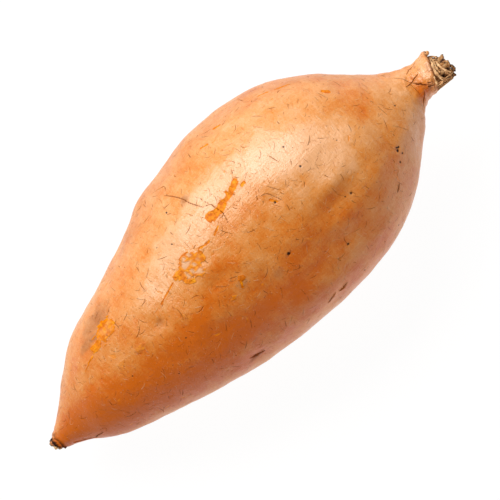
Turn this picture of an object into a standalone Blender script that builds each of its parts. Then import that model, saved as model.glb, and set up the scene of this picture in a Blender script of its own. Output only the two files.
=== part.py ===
"""A sweet potato lying on its side: one grown root, from the broken root tip to the snapped stalk.

Run it with blender --background --python part.py, or from Blender's text editor.
Metres, +Z up. The root lies along X with its stalk end at +X, and rests at Z = 0 on a small flat spot.
"""

import math

import bmesh
import bpy
from mathutils import Matrix, Vector

MM = 0.001

# Driving dimensions.
LENGTH = 174 * MM  # root tip to snapped stalk, less the rounding of both ends
WIDTH = 71 * MM  # widest, across
HEIGHT = 64 * MM  # tallest, lying down, before the flat spot
FLAT_DEPTH = 0.6 * MM  # how much of the belly the resting spot flattens

RINGS = 72  # sections along the root
SIDES = 44  # points round each section
SAME_PLACE = 0.01 * MM  # points closer than this count as one
SKIN_STEP = 0.25 * MM  # length of the step from the skin down to the bare stalk
END_CROWDING = 0.55  # 0 spaces the sections evenly, 1 crowds them at both ends

# The outlines, as (share of the length from the root tip, share of the full width or height).
# Seen from above: the bulging side lies at +Y, the straighter side at -Y.
BULGING_SIDE = (
    (0.00, 0.025), (0.03, 0.060), (0.06, 0.108), (0.10, 0.186), (0.17, 0.290), (0.27, 0.372),
    (0.36, 0.446), (0.43, 0.516), (0.50, 0.554), (0.58, 0.580), (0.66, 0.567), (0.73, 0.518),
    (0.79, 0.431), (0.84, 0.320), (0.89, 0.196), (0.92, 0.138), (0.96, 0.121), (0.99, 0.090),
    (1.00, 0.030),
)
STRAIGHT_SIDE = (
    (0.00, 0.020), (0.03, 0.044), (0.06, 0.090), (0.10, 0.163), (0.15, 0.217), (0.25, 0.296),
    (0.35, 0.367), (0.44, 0.408), (0.55, 0.427), (0.65, 0.413), (0.73, 0.366), (0.80, 0.280),
    (0.87, 0.156), (0.91, 0.076), (0.94, 0.052), (0.99, 0.050), (1.00, 0.030),
)
# Seen from the side: how tall each section is, and how high its middle lies.
SECTION_HEIGHT = (
    (0.00, 0.055), (0.03, 0.115), (0.06, 0.215), (0.11, 0.385), (0.20, 0.580), (0.35, 0.800),
    (0.49, 0.957), (0.58, 1.000), (0.66, 0.970), (0.75, 0.835), (0.83, 0.580), (0.88, 0.365),
    (0.92, 0.220), (0.96, 0.184), (0.985, 0.160), (1.00, 0.095),
)
MIDDLE_HEIGHT = (
    (0.00, 0.33), (0.11, 0.39), (0.28, 0.455), (0.42, 0.485), (0.53, 0.50), (0.64, 0.512),
    (0.76, 0.535), (0.88, 0.565), (1.00, 0.64),
)
# How far the sections lean: metres along the root for each metre towards +Y. The skin ends on
# a slant, further along on the bulging side, and the snapped stalk ends square.
SECTION_LEAN = ((0.000, 0.000), (0.880, 0.000), (0.962, 0.440), (0.985, 0.150), (1.000, 0.000))

# Broad swells and hollows of the flesh: share of the length, degrees round from +Y over the top,
# reach along the length (m), reach round (degrees), and how far the skin stands out (m).
SWELLS = (
    (0.62, 62, 34 * MM, 17, 0.9 * MM),
    (0.36, 58, 22 * MM, 20, 0.7 * MM),
    (0.77, 112, 11 * MM, 20, 1.3 * MM),
    (0.66, 126, 13 * MM, 13, -1.3 * MM),
    (0.63, 88, 12 * MM, 16, 0.6 * MM),
    (0.40, 92, 12 * MM, 13, 0.8 * MM),
    (0.43, 122, 16 * MM, 18, -0.8 * MM),
    (0.24, 118, 15 * MM, 24, 0.7 * MM),
    (0.52, 178, 22 * MM, 24, -0.4 * MM),
    (0.34, 232, 20 * MM, 30, 0.5 * MM),
    (0.70, 300, 16 * MM, 26, -0.9 * MM),
    (0.16, 340, 12 * MM, 40, 0.6 * MM),
)
CREST_FADE = 15 * MM  # swells fade out where the root is thinner than this
LOBES = 3  # low folds round the neck, which fade into the body
LOBE_DEPTH = 0.05  # share of the neck's radius
LOBE_TURN = 0.6  # radians from +Y to the first fold
NECK_START, NECK_FULL = 0.80, 0.93  # where along the length the folds begin and are deepest
STUB_START = 0.962  # the skin ends here, and bare stalk goes on
STUB_SHARE = 0.86  # radius of the bare stalk beside the skin's
RAGGED = 0.5 * MM  # how unevenly the stalk snapped
END_BULGE = 0.5 * MM  # how far the middle of each end stands out

SKIN_COLOUR = (0.63, 0.27, 0.09, 1.0)
SKIN_ROUGHNESS = 0.5
SHARP_ANGLE = math.radians(50)


def smoothstep(low, high, value):
    """0 below low, 1 above high, and a smooth rise between them."""
    share = min(1.0, max(0.0, (value - low) / (high - low)))
    return share * share * (3 - 2 * share)


def outline_at(outline, along):
    """The outline's value at a share of the length, on a smooth curve through its points."""
    last = len(outline) - 2
    i = min(last, max(0, sum(1 for x, _ in outline if x <= along) - 1))
    (x0, y0), (x1, y1) = outline[i], outline[i + 1]

    def slope(k):
        (xa, ya), (xb, yb) = outline[max(0, k - 1)], outline[min(last + 1, k + 1)]
        return (yb - ya) / (xb - xa)

    step = x1 - x0
    t = (along - x0) / step
    return (
        (2 * t**3 - 3 * t**2 + 1) * y0
        + (t**3 - 2 * t**2 + t) * step * slope(i)
        + (3 * t**2 - 2 * t**3) * y1
        + (t**3 - t**2) * step * slope(i + 1)
    )


def swell_at(along, angle):
    """How far the flesh stands out at a place on the body, in metres."""
    total = 0.0
    for centre, round_to, reach, spread, height in SWELLS:
        off_along = (along - centre) * LENGTH / reach
        off_round = ((math.degrees(angle) - round_to + 180) % 360 - 180) / spread
        total += height * math.exp(-(off_along**2 + off_round**2) / 2)
    return total


def section_point(along, angle):
    """A point of the skin: angle 0 looks to +Y and 90 degrees straight up."""
    left = outline_at(BULGING_SIDE, along) * WIDTH
    right = outline_at(STRAIGHT_SIDE, along) * WIDTH
    tall = outline_at(SECTION_HEIGHT, along) * HEIGHT
    neck = smoothstep(NECK_START, NECK_FULL, along)
    fold = 1 + LOBE_DEPTH * neck * math.cos(LOBES * angle + LOBE_TURN)
    if along > STUB_START:
        fold *= STUB_SHARE
    out_y = math.cos(angle) * (left + right) / 2 * fold
    out_z = math.sin(angle) * tall / 2 * fold
    reach = math.hypot(out_y, out_z)
    stretch = 1 + swell_at(along, angle) / reach * smoothstep(0.0, CREST_FADE, reach)
    forward = out_y * outline_at(SECTION_LEAN, along)
    if along > STUB_START:
        snapped = (along - STUB_START) / (1 - STUB_START)
        forward += RAGGED * snapped * (math.sin(2 * angle + 1.1) + 0.6 * math.sin(5 * angle))
    return Vector((
        along * LENGTH + forward,
        (left - right) / 2 + out_y * stretch,
        outline_at(MIDDLE_HEIGHT, along) * HEIGHT + out_z * stretch,
    ))


def section_places():
    """Shares of the length at which the sections stand, closer together towards both ends."""
    places = []
    for i in range(RINGS):
        even = i / (RINGS - 1)
        crowded = (1 - math.cos(math.pi * even)) / 2
        places.append(even + END_CROWDING * (crowded - even))
    # One section just before and one just after the end of the skin make its step crisp.
    places += [STUB_START - SKIN_STEP / LENGTH, STUB_START + SKIN_STEP / LENGTH]
    return sorted(places)


def build_root():
    """The whole root as one closed mesh: sections bridged along its length, capped at both ends."""
    bm = bmesh.new()
    rings = []
    for along in section_places():
        ring = [
            bm.verts.new(section_point(along, 2 * math.pi * k / SIDES)) for k in range(SIDES)
        ]
        rings.append(ring)
    for ring, after in zip(rings, rings[1:]):
        for k in range(SIDES):
            beside = (k + 1) % SIDES
            bm.faces.new((ring[k], ring[beside], after[beside], after[k]))
    for ring, away in ((rings[0], -1), (rings[-1], 1)):
        middle = sum((v.co for v in ring), Vector()) / SIDES
        tip = bm.verts.new(middle + Vector((away * END_BULGE, 0, 0)))
        for k in range(SIDES):
            bm.faces.new((ring[k], ring[(k + 1) % SIDES], tip))
    bmesh.ops.recalc_face_normals(bm, faces=bm.faces)
    return bm


def flatten_belly(bm):
    """Cuts the small flat spot under the belly that the root rests on."""
    lowest = min(v.co.z for v in bm.verts)
    cut = bmesh.ops.bisect_plane(
        bm,
        geom=bm.verts[:] + bm.edges[:] + bm.faces[:],
        dist=SAME_PLACE,
        plane_co=(0, 0, lowest + FLAT_DEPTH),
        plane_no=(0, 0, -1),
        clear_outer=True,
    )
    rim = [e for e in cut["geom_cut"] if isinstance(e, bmesh.types.BMEdge)]
    bmesh.ops.edgeloop_fill(bm, edges=rim)
    bmesh.ops.recalc_face_normals(bm, faces=bm.faces)


def stand_on_origin(bm):
    """Moves the root so that the middle of its box's base is the origin."""
    low = [min(v.co[k] for v in bm.verts) for k in range(3)]
    high = [max(v.co[k] for v in bm.verts) for k in range(3)]
    middle = Vector(((low[0] + high[0]) / 2, (low[1] + high[1]) / 2, low[2]))
    bmesh.ops.transform(bm, matrix=Matrix.Translation(-middle), verts=bm.verts)


def skin_material():
    material = bpy.data.materials.new("skin")
    material.use_nodes = True
    shader = material.node_tree.nodes["Principled BSDF"]
    shader.inputs["Base Color"].default_value = SKIN_COLOUR
    shader.inputs["Roughness"].default_value = SKIN_ROUGHNESS
    material.diffuse_color = SKIN_COLOUR
    return material


def main():
    for obj in list(bpy.data.objects):
        bpy.data.objects.remove(obj)
    bm = build_root()
    flatten_belly(bm)
    stand_on_origin(bm)
    mesh = bpy.data.meshes.new("sweet_potato")
    bm.to_mesh(mesh)
    bm.free()
    mesh.shade_smooth()
    mesh.set_sharp_from_angle(angle=SHARP_ANGLE)
    for edge in mesh.edges:
        round_the_flat = all(mesh.vertices[v].co.z < SAME_PLACE for v in edge.vertices)
        edge.use_edge_sharp = edge.use_edge_sharp or round_the_flat
    mesh.materials.append(skin_material())
    root = bpy.data.objects.new("sweet_potato", mesh)
    bpy.context.scene.collection.objects.link(root)


main()
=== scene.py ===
"""The looks of a sweet potato lying on its side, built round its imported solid.

The root lies along X, root tip at -X and snapped stalk at +X. Places on its skin are given as
millimetres from the root tip and degrees round it: 0 looks to +Y and 90 straight up.
"""

import math

import bmesh
import bpy
import numpy as np
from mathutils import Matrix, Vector, noise
from mathutils.kdtree import KDTree


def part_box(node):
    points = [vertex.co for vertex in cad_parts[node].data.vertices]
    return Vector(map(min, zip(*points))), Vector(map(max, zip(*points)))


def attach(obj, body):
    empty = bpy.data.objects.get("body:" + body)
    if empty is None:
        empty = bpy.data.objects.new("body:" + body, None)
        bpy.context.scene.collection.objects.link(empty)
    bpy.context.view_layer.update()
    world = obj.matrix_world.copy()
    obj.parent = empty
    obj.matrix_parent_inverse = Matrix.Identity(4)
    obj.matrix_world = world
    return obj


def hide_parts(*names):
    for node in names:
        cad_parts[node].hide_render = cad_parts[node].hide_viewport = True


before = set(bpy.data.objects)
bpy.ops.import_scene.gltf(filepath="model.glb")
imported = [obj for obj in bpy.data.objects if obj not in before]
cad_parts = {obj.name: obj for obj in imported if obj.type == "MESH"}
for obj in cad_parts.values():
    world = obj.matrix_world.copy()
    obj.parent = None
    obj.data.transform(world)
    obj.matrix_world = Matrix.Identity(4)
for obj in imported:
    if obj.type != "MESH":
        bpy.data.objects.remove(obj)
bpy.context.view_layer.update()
ROOT_LOW, ROOT_HIGH = (Vector(corner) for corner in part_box("sweet_potato"))

bl_info = {
    "name": "Sweet Potato",
    "version": (1, 0, 0),
    "blender": (4, 5, 0),
    "location": "3D View > Sidebar > Sweet Potato",
    "description": "Grows the skin, snapped stalk and root tip of a sweet potato, and its studio",
    "category": "Add Mesh",
}

MM = 0.001
LENGTH = ROOT_HIGH.x - ROOT_LOW.x
WIDTH = ROOT_HIGH.y - ROOT_LOW.y
HEIGHT = (ROOT_HIGH.z - ROOT_LOW.z) * 0.996  # the sections' own, without swells or flat spot

# The outlines, as (share of the length from the root tip, share of the full width or height).
# Seen from above: the bulging side lies at +Y, the straighter side at -Y.
BULGING_SIDE = (
    (0.00, 0.025), (0.03, 0.060), (0.06, 0.108), (0.10, 0.186), (0.17, 0.290), (0.27, 0.372),
    (0.36, 0.446), (0.43, 0.516), (0.50, 0.554), (0.58, 0.580), (0.66, 0.567), (0.73, 0.518),
    (0.79, 0.431), (0.84, 0.320), (0.89, 0.196), (0.92, 0.138), (0.96, 0.121), (0.99, 0.090),
    (1.00, 0.030),
)
STRAIGHT_SIDE = (
    (0.00, 0.020), (0.03, 0.044), (0.06, 0.090), (0.10, 0.163), (0.15, 0.217), (0.25, 0.296),
    (0.35, 0.367), (0.44, 0.408), (0.55, 0.427), (0.65, 0.413), (0.73, 0.366), (0.80, 0.280),
    (0.87, 0.156), (0.91, 0.076), (0.94, 0.052), (0.99, 0.050), (1.00, 0.030),
)
# Seen from the side: how tall each section is, and how high its middle lies.
SECTION_HEIGHT = (
    (0.00, 0.055), (0.03, 0.115), (0.06, 0.215), (0.11, 0.385), (0.20, 0.580), (0.35, 0.800),
    (0.49, 0.957), (0.58, 1.000), (0.66, 0.970), (0.75, 0.835), (0.83, 0.580), (0.88, 0.365),
    (0.92, 0.220), (0.96, 0.184), (0.985, 0.160), (1.00, 0.095),
)
MIDDLE_HEIGHT = (
    (0.00, 0.33), (0.11, 0.39), (0.28, 0.455), (0.42, 0.485), (0.53, 0.50), (0.64, 0.512),
    (0.76, 0.535), (0.88, 0.565), (1.00, 0.64),
)
# How far the sections lean: metres along the root for each metre towards +Y.
SECTION_LEAN = ((0.000, 0.000), (0.880, 0.000), (0.962, 0.440), (0.985, 0.150), (1.000, 0.000))

# Broad swells and hollows: (mm from the root tip, degrees round, reach along in mm, reach round
# in degrees, how far the skin stands out in mm).
SWELLS = (
    (108, 62, 34, 17, 0.9), (63, 58, 22, 20, 0.7), (134, 112, 11, 20, 1.3),
    (115, 126, 13, 13, -1.3), (110, 88, 12, 16, 0.6), (70, 92, 12, 13, 0.8),
    (75, 122, 16, 18, -0.8), (42, 118, 15, 24, 0.7), (91, 178, 22, 24, -0.4),
    (60, 232, 20, 30, 0.5), (122, 300, 16, 26, -0.9), (28, 340, 12, 40, 0.6),
)


def smoothstep(low, high, value):
    """0 below low, 1 above high, and a smooth rise between them."""
    share = np.clip((value - low) / (high - low), 0.0, 1.0)
    return share * share * (3 - 2 * share)


def through(points, along):
    """Values, at shares of the length, on a smooth curve through an outline's points."""
    x, y = np.array(points, float).T
    low, high = np.maximum(np.arange(len(x)) - 1, 0), np.minimum(np.arange(len(x)) + 1, len(x) - 1)
    slope = (y[high] - y[low]) / (x[high] - x[low])
    i = np.clip(np.searchsorted(x, along, side="right") - 1, 0, len(x) - 2)
    step = x[i + 1] - x[i]
    t = (along - x[i]) / step
    return (
        (2 * t**3 - 3 * t**2 + 1) * y[i]
        + (t**3 - 2 * t**2 + t) * step * slope[i]
        + (3 * t**2 - 2 * t**3) * y[i + 1]
        + (t**3 - t**2) * step * slope[i + 1]
    )


def degrees_off(round_at, centre):
    """How far round the root a place lies from a centre, in degrees either way."""
    return (round_at - centre + 180) % 360 - 180


def loft(along, round_at):
    """Points of the smooth root: along in mm from the tip, round in degrees."""
    place = along * MM / LENGTH
    share = np.clip(place, 0.0, 1.0)
    angle = np.radians(round_at)
    left, right = through(BULGING_SIDE, share) * WIDTH, through(STRAIGHT_SIDE, share) * WIDTH
    neck = smoothstep(0.80, 0.93, share)
    fold = 1 + 0.05 * neck * np.cos(3 * angle + 0.6)
    out_y = np.cos(angle) * (left + right) / 2 * fold
    out_z = np.sin(angle) * through(SECTION_HEIGHT, share) * HEIGHT / 2 * fold
    reach = np.hypot(out_y, out_z)
    swell = np.zeros_like(reach)
    for centre, turned, long_reach, round_reach, height in SWELLS:
        off = ((along - centre) / long_reach) ** 2
        off = off + (degrees_off(round_at, turned) / round_reach) ** 2
        swell += height * MM * np.exp(-off / 2)
    stretch = 1 + swell / reach * smoothstep(0.0, 15 * MM, reach)
    return np.stack(
        (
            ROOT_LOW.x + place * LENGTH + out_y * through(SECTION_LEAN, share),
            (left - right) / 2 + out_y * stretch,
            through(MIDDLE_HEIGHT, share) * HEIGHT + out_z * stretch,
        ),
        axis=-1,
    )


def resting_shift():
    """What moves the loft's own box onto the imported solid's."""
    along, round_at = np.meshgrid(
        np.linspace(0, LENGTH / MM, 240), np.arange(0, 360, 2.0), indexing="ij"
    )
    points = loft(along, round_at).reshape(-1, 3)
    low, high = points.min(axis=0), points.max(axis=0)
    middle = (ROOT_LOW.y + ROOT_HIGH.y) / 2
    return np.array((0.0, middle - (low[1] + high[1]) / 2, ROOT_HIGH.z - high[2]))


LOFT_SHIFT = resting_shift()
BELLY_GIVE = 0.12 * MM  # how softly the belly rounds into its flat spot
TIP_BEND = np.array((-0.7, -0.8, 0.0)) * MM  # how far the last of the root tip bends aside


def surface(along, round_at):
    """Points of the root's skin before its small marks, lying on its flattened belly."""
    points = loft(along, round_at) + LOFT_SHIFT
    points = points + TIP_BEND * smoothstep(14.0, 1.0, np.asarray(along))[..., None]
    above = points[..., 2] - ROOT_LOW.z
    points[..., 2] = ROOT_LOW.z + (above + np.sqrt(above**2 + BELLY_GIVE**2)) / 2
    return points


def surface_frame(along, round_at):
    """Points of the skin, and the unit direction out of it at each."""
    step = 0.05
    points = surface(along, round_at)
    inside = np.minimum(along, LENGTH / MM - step)
    ahead = surface(inside + step, round_at) - surface(inside, round_at)
    beside = surface(along, round_at + step) - points
    out = np.cross(beside, ahead)
    return points, out / (np.linalg.norm(out, axis=-1, keepdims=True) + 1e-12)


# ---- marks ------------------------------------------------------------------------------------

# Splits in the skin: (width in mm, depth in mm, places as (mm from the root tip, degrees round)).
SPLITS = (
    (0.26, 0.26, ((80.3, 24), (82.4, 27), (84.6, 31), (84.0, 35))),
    (0.30, 0.34, ((82.6, 37), (84.6, 45), (85.8, 51), (86.4, 56), (88.1, 63))),
    (0.24, 0.26, ((88.1, 63), (90.3, 65), (90.6, 68), (91.0, 73), (90.0, 78))),
    (0.17, 0.18, ((90.3, 65), (89.8, 62), (89.4, 57))),
    (0.70, 0.55, ((93.0, 156), (94.6, 154.5), (95.4, 154), (96.8, 152.5))),
    (0.80, 0.60, ((98.0, 155.5), (99.6, 155.5), (101.6, 153.5))),
    (0.80, 0.60, ((64.2, 151.5), (65.4, 154.0), (66.6, 155.5), (68.8, 156.5))),
    (0.16, 0.12, ((88.8, 118.5), (90.4, 118.5), (92.4, 117))),
    (0.16, 0.12, ((92.8, 119.5), (94.2, 121), (95.8, 122))),
    (0.18, 0.12, ((86.4, 119.5), (86.2, 123), (84.4, 128.5))),
    (0.14, 0.10, ((147.4, 58), (148.0, 80), (148.1, 95))),
    (0.46, 0.30, ((133.0, 139.6), (134.2, 138.4), (135.3, 136.6))),
    (0.13, 0.10, ((121.0, 88), (122.2, 90.5), (123.6, 91))),
    (0.13, 0.10, ((112.6, 84), (111.2, 86.5), (109.8, 87))),
    (0.12, 0.09, ((108.4, 79), (106.6, 80.5))),
    (0.13, 0.10, ((118.0, 140), (119.8, 141.5), (121.6, 141))),
    (0.13, 0.10, ((104.0, 133), (105.4, 136), (107.6, 136.5))),
    (0.14, 0.12, ((146.6, 104), (148.0, 111), (149.2, 120))),
    (0.24, 0.20, ((102.4, 81), (104.2, 82), (105.2, 84.5), (106.3, 90))),
    (0.36, 0.40, ((164.4, 19), (162.6, 32), (160.8, 47))),
    (0.26, 0.30, ((163.6, 68), (162.4, 71), (160.4, 77.5), (158.4, 79))),
    (0.42, 0.38, ((161.4, 84), (161.9, 90), (163.0, 95), (163.4, 101), (165.2, 110))),
    (0.30, 0.30, ((165.0, 104), (165.8, 110), (166.9, 113))),
    (0.30, 0.30, ((164.6, 114), (165.8, 121), (167.2, 126))),
    (0.22, 0.22, ((157.4, 40), (159.0, 54), (160.6, 76), (162.4, 92), (165.2, 117))),
    (0.30, 0.28, ((162.8, 116), (161.4, 130), (159.4, 146))),
    (0.36, 0.36, ((6.6, 150), (9.0, 156), (12.4, 158), (13.6, 148), (15.6, 140))),
    (0.26, 0.25, ((28.0, 246), (31.5, 243), (36.0, 247), (38.5, 243))),
    (0.30, 0.28, ((118.0, 214), (121.0, 220), (123.5, 219), (127.5, 225))),
    (0.24, 0.20, ((70.0, 302), (74.0, 299), (79.0, 303), (82.0, 301))),
    (0.22, 0.18, ((132.0, 330), (134.0, 338), (133.5, 345))),
)

# Skin scraped away down to orange flesh: (width in mm, places).
SCRAPES = (
    (3.0, ((87.5, 69.3), (88.7, 70.4))),
    (2.6, ((89.4, 69.8), (91.4, 70.6), (93.2, 69.4))),
    (1.5, ((93.2, 69.4), (96.2, 69.8), (98.2, 68.2))),
    (2.0, ((98.2, 68.5), (100.6, 67.0))),
    (0.9, ((96.0, 69.5), (96.4, 66.5))),
    (0.6, ((87.1, 75.5), (84.4, 77.0))),
    (0.8, ((81.9, 77.2), (80.2, 77.0), (78.2, 75.8))),
    (0.5, ((64.6, 75.0), (61.0, 76.0), (57.6, 77.6))),
    (1.1, ((101.4, 70.5), (102.2, 70.5))),
    (0.8, ((104.0, 85.5), (104.8, 88.5))),
    (1.4, ((139.4, 49.5), (140.4, 51))),
    (0.6, ((101.2, 36), (103.4, 38))),
    (0.5, ((124.7, 28.5), (127.9, 29.0))),
    (0.4, ((129.8, 29.2), (134.0, 28.2))),
    (0.9, ((79.6, 103), (78.6, 106))),
    (0.8, ((108.4, 30.5), (110.4, 31.5))),
    (0.8, ((48.5, 300), (51.0, 303))),
    (1.2, ((95.0, 238), (98.5, 236), (100.0, 238))),
)

# Rough orange scabs, where the skin healed: (mm, degrees, reach along in mm, reach round in
# degrees, how much of it shows, how much of its middle is covered by pale crust).
SCABS = (
    (72.4, 77.5, 4.0, 7.6, 1.0, 1.0),
    (76.6, 79.5, 1.6, 2.6, 0.8, 0.0),
    (67.6, 75.0, 1.8, 2.2, 0.7, 0.0),
    (38.8, 55.0, 4.4, 7.6, 1.0, 0.25),
    (33.4, 57.5, 2.4, 4.0, 0.9, 0.0),
    (29.6, 60.0, 2.0, 1.8, 0.6, 0.0),
    (26.2, 61.5, 1.6, 1.3, 0.5, 0.0),
    (80.4, 102.0, 1.2, 1.9, 0.75, 0.0),
    (74.2, 107.0, 1.0, 1.4, 0.6, 0.0),
    (60.3, 95.0, 2.2, 3.4, 0.40, 0.0),
    (43.6, 88.0, 1.8, 2.6, 0.45, 0.0),
    (34.9, 87.0, 2.0, 3.6, 0.45, 0.0),
    (57.0, 262.0, 5.0, 8.0, 0.6, 0.5),
)

# Cork, grey to dark brown: (mm, degrees, reach along in mm, reach round in degrees, darkness).
CORKS = (
    (39.0, 40.0, 7.0, 11.0, 0.60),
    (35.0, 49.0, 2.2, 3.4, 0.80),
    (31.0, 46.0, 3.0, 5.0, 0.50),
    (66.4, 156.0, 2.6, 3.2, 0.60),
    (79.4, 105.0, 2.2, 3.0, 0.45),
    (89.1, 115.0, 1.6, 2.4, 0.40),
    (52.9, 85.0, 1.8, 3.2, 0.42),
    (85.8, 51.5, 1.5, 2.6, 0.55),
    (165.8, 119.0, 1.7, 13.0, 0.80),
    (104.6, 28.0, 7.0, 6.0, 0.18),
    (96.0, 20.0, 52.0, 15.0, 0.18),
    (120.0, 232.0, 6.0, 9.0, 0.40),
    (84.0, 286.0, 8.0, 9.0, 0.30),
)

# Dark specks and pits: (mm, degrees, radius in mm).
SPECKS = (
    (95.6, 111, 0.62), (122.4, 113, 0.42), (120.4, 112, 0.30), (110.3, 134, 0.50),
    (118.4, 71, 0.42), (117.6, 84, 0.34), (142.9, 126, 0.42), (140.4, 128, 0.46),
    (142.7, 118.6, 0.50), (142.3, 120.4, 0.62), (143.2, 119.4, 0.45), (104.3, 88, 0.42),
    (73.2, 62, 0.30), (97.4, 71, 0.26), (79.2, 47, 0.34),
    (55.4, 104, 0.28), (46.0, 122, 0.34), (62.0, 139, 0.30), (108.0, 160, 0.32),
    (126.0, 162, 0.36), (35.0, 100, 0.26), (69.0, 54, 0.26), (131.0, 86, 0.24), (152.0, 92, 0.30),
    (100.0, 203, 0.4), (72.0, 214, 0.5), (44.0, 231, 0.36), (128.0, 247, 0.45), (110.0, 275, 0.5),
    (90.0, 318, 0.36), (58.0, 334, 0.42), (134.0, 312, 0.34), (30.0, 286, 0.3), (146.0, 210, 0.4),
)

# Small bumps (+) and dents (-): (mm, degrees, reach along, reach round in mm, height in mm).
DIMPLES = (
    (119.7, 101, 5.0, 2.0, 0.42), (116.0, 119, 5.0, 2.6, 0.40), (117.4, 111, 6.0, 3.0, -0.42),
    (131.7, 116, 4.0, 3.4, 0.45), (136.3, 95, 5.0, 5.0, 0.40), (75.1, 88, 3.4, 2.2, 0.40),
    (73.5, 93, 4.0, 2.6, -0.34), (52.9, 85, 1.6, 1.6, -0.24), (104.5, 86, 2.0, 2.0, -0.22),
    (66.4, 157, 2.4, 2.4, -0.42), (98.6, 19, 5.0, 5.0, 0.45), (76.2, 8, 5.0, 5.0, 0.40),
    (88.0, 12, 6.0, 5.0, -0.40), (110.0, 62, 7.0, 6.0, 0.30), (96.0, 62, 5.0, 7.0, -0.25),
    (82.0, 60, 6.0, 6.0, 0.25), (63.0, 72, 5.0, 5.0, -0.22), (124.0, 74, 6.0, 7.0, 0.22),
    (141.0, 70, 5.0, 7.0, -0.30), (104.0, 128, 7.0, 4.0, -0.30), (84.0, 112, 6.0, 5.0, -0.22),
    (58.0, 112, 7.0, 4.0, 0.26), (46.0, 92, 6.0, 5.0, 0.20), (36.0, 66, 6.0, 6.0, -0.30),
    (22.0, 92, 5.0, 5.0, 0.22), (148.0, 118, 5.0, 4.0, 0.26), (150.0, 150, 4.0, 4.0, -0.30),
    (92.0, 146, 8.0, 4.0, 0.28), (70.0, 140, 8.0, 5.0, -0.26), (108.0, 214, 9.0, 6.0, 0.45),
    (84.0, 232, 8.0, 8.0, -0.40), (62.0, 206, 9.0, 5.0, 0.35), (124.0, 250, 8.0, 6.0, -0.45),
    (96.0, 300, 9.0, 7.0, 0.40), (60.0, 320, 8.0, 6.0, -0.35), (130.0, 340, 6.0, 6.0, 0.35),
    (40.0, 260, 6.0, 6.0, 0.30),
)

# The bulge (+) and dents (-) of the neck: (mm, degrees, reach along in mm, reach round in degrees,
# height in mm).
NECK_DENTS = (
    (167.6, 26, 0.9, 13, 0.7), (164.6, 0, 2.6, 30, -0.8), (150.5, 5, 5.0, 34, -1.1),
    (158.0, 5, 3.0, 34, -0.4), (163.5, 165, 3.0, 26, -0.6),
)

# Where the skin is paler (+) or deeper (-) than elsewhere: partly the skin's own tone, partly painted
# highlight on the upper +Y side where the key light falls, and painted shade on the side away from
# it and in hollows. (mm, degrees, reach along in mm, reach round in degrees, strength).
TONES_AND_PAINTED_LIGHT = (
    (122, 74, 9, 16, 0.75), (111, 62, 7, 9, 0.85), (74, 68, 13, 10, 0.50), (90, 60, 8, 9, 0.45),
    (136, 84, 7, 14, 0.45), (104, 30, 20, 12, 0.10), (62, 104, 20, 16, -0.20),
    (12, 116, 13, 40, -0.90), (34, 126, 14, 24, -0.70), (30, 62, 12, 26, -0.10),
    (56, 134, 18, 14, -0.45), (88, 138, 18, 12, -0.50), (112, 126, 10, 9, -0.20),
    (130, 122, 9, 9, -0.10), (127, 132, 8, 6, 0.25), (118, 150, 20, 10, -0.20),
    (117, 108, 6, 8, -0.20), (80, 98, 10, 9, -0.30), (100, 104, 8, 8, -0.25), (99, 84, 4, 7, -0.35),
    (45, 106, 9, 7, -0.40), (56, 108, 7, 6, -0.40), (67, 119, 7, 7, -0.30), (82, 90, 6, 6, -0.35),
    (120, 107, 5, 3, -0.30), (110, 107, 5, 4, -0.30), (101, 115, 6, 6, -0.25),
    (135, 107, 4, 5, -0.30), (144, 102, 4, 11, -0.25), (143, 78, 3, 8, -0.25),
    (116.2, 89, 2.6, 3.5, -0.50), (75, 46, 8, 6, -0.25), (66, 68, 9, 8, 0.45),
    (96, 60, 9, 7, 0.35), (128, 103, 2.6, 2.4, 0.35), (157, 114, 4, 16, -0.12),
    (155, 136, 4, 12, -0.05), (156, 70, 5, 36, 0.30), (162, 114, 2.6, 22, -1.05),
    (150, 124, 6, 36, 0.45), (140, 74, 7, 12, -0.55), (66, 128, 26, 6, -0.30),
    (98, 128, 20, 6, -0.28), (10, 120, 8, 50, -0.30),
    (87, 101, 6, 6, 0.35), (122, 98, 5, 5, 0.35), (35, 74, 5, 8, 0.45), (21, 72, 5, 12, 0.35),
    (105, 62, 5, 6, -0.30), (70, 60, 5, 6, 0.45), (122, 45, 5, 8, 0.35),
    (166, 76, 1.8, 34, 0.35), (166, 250, 2, 60, 0.30), (100, 250, 40, 50, -0.15),
    (88, 88, 6, 6, 0.40), (122, 88, 5, 6, 0.35), (124, 110, 5, 5, 0.30), (105, 138, 9, 7, 0.35),
    (14, 112, 9, 26, -0.35), (154, 128, 5, 12, 0.30), (70, 154, 26, 8, -0.40),
)

EVERYWHERE = slice(None)  # stands for all of a mask's points
# The darkness inside a split grows with its depth: partly the split's own brown, partly painted shade.
FULL_DARK_DEPTH = 0.2  # mm; a split this deep or deeper shows its full darkness
DIMPLE_LIMIT = 28 * MM  # past this, a small bump or dent no longer moves the skin
CALM_BELOW = 4 * MM  # height above the floor below which the skin's relief fades out
SKIN_START, SKIN_END = 1.1, 168.0  # mm from the tip, between which the skin is whole
# Beyond both, the skin turns in: (mm from the tip, share of the section that is left).
TURNED_IN_AT_TIP = ((0.95, 0.93), (1.0, 0.82), (1.5, 0.70), (1.9, 0.50), (2.0, 0.04))
TURNED_IN_AT_STALK = (
    (168.30, 0.985), (168.42, 0.955), (168.38, 0.92), (168.1, 0.895), (167.4, 0.875),
    (166.4, 0.86), (165.9, 0.60), (165.8, 0.03),
)


def noise_at(points, size, seed=0.0):
    """Smooth noise, -1 to 1, whose lumps are about size metres across."""
    offset = Vector((seed * 7.31, seed * 3.17, seed * 5.93))
    return np.array([noise.noise(Vector(p) / size + offset) for p in points])


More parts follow.
